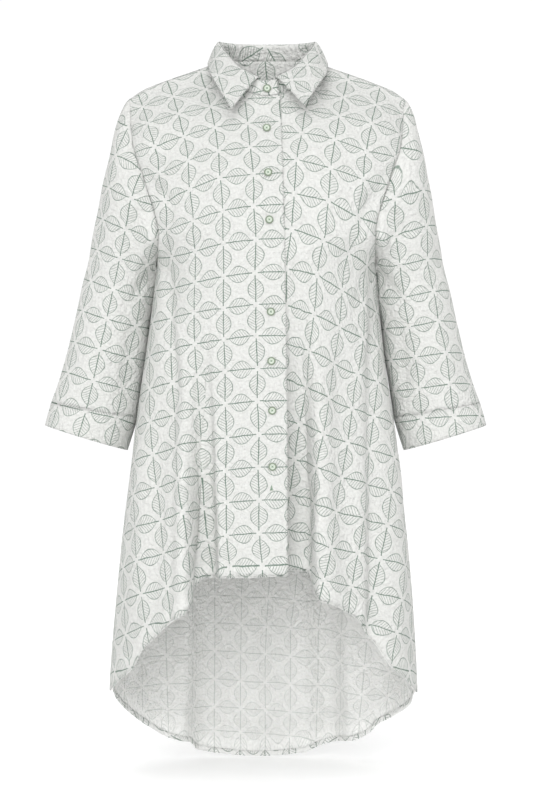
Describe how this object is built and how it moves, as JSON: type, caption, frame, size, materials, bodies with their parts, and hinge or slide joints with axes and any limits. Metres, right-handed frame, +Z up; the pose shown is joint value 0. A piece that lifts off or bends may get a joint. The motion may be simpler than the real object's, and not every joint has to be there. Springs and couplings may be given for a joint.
{
  "type": "tunic top",
  "caption": "High-low tunic shirt with a turned-down collar, buttoned lap, three-quarter sleeves, cuffs and a long rounded back, filled out as worn.",
  "frame": {"origin": "at the shoulders, halfway across the neck, where the wearer holds the garment up", "axes": "+X to the wearer's left, -Y to the front, +Z up"},
  "size_m": [0.643, 0.3335, 1.0684],
  "materials": {
    "printed_cotton": "matt plain-weave white cotton with a fine grey-green leaf print",
    "hem_cotton": "the same cotton, turned and stitched at the hem",
    "button_shell": "pale green, softly polished"
  },
  "bodies": {
    "root": {"back": "printed_cotton", "front_right": "printed_cotton", "front_left": "printed_cotton", "sleeve_right": "printed_cotton", "sleeve_left": "printed_cotton", "cuff_right": "printed_cotton", "cuff_left": "printed_cotton", "collar_stand": "printed_cotton", "collar_leaf": "printed_cotton", "hem_front_right": "hem_cotton", "hem_front_left": "hem_cotton", "hem_back": "hem_cotton", "button_1": "button_shell", "button_2": "button_shell", "button_3": "button_shell", "button_4": "button_shell", "button_5": "button_shell", "button_6": "button_shell", "button_7": "button_shell", "button_8": "button_shell"}
  },
  "joints": []
}
